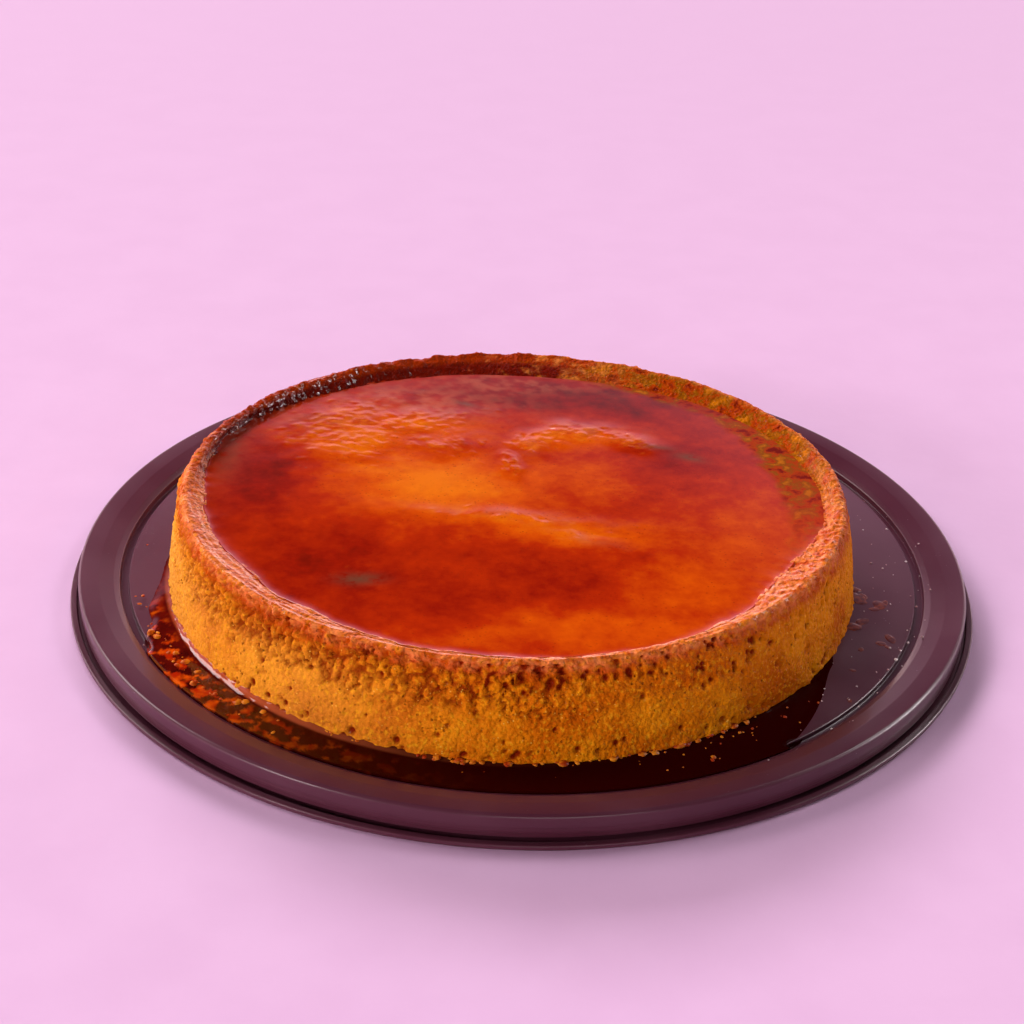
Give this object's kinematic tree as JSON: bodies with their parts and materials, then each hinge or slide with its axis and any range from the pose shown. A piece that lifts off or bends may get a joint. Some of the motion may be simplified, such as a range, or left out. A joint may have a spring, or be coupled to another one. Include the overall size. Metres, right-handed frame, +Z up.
{
  "type": "leche flan on a plate",
  "caption": "Round leche flan with a raised rim and a caramel pool on top, on a round grooved cake plate with syrup round its foot.",
  "frame": {"origin": "on the ground, under the middle of the plate", "axes": "+Z up, -Y towards the front of the dish, +X to the right"},
  "size_m": [0.3, 0.3, 0.0383],
  "materials": {
    "plate": "dark aubergine moulded plastic, satin to gloss",
    "custard": null,
    "caramel": null,
    "syrup": null
  },
  "bodies": {
    "root": {"plate": "plate", "flan": "custard", "caramel_pool": "caramel", "syrup_puddle": "syrup"}
  },
  "joints": []
}
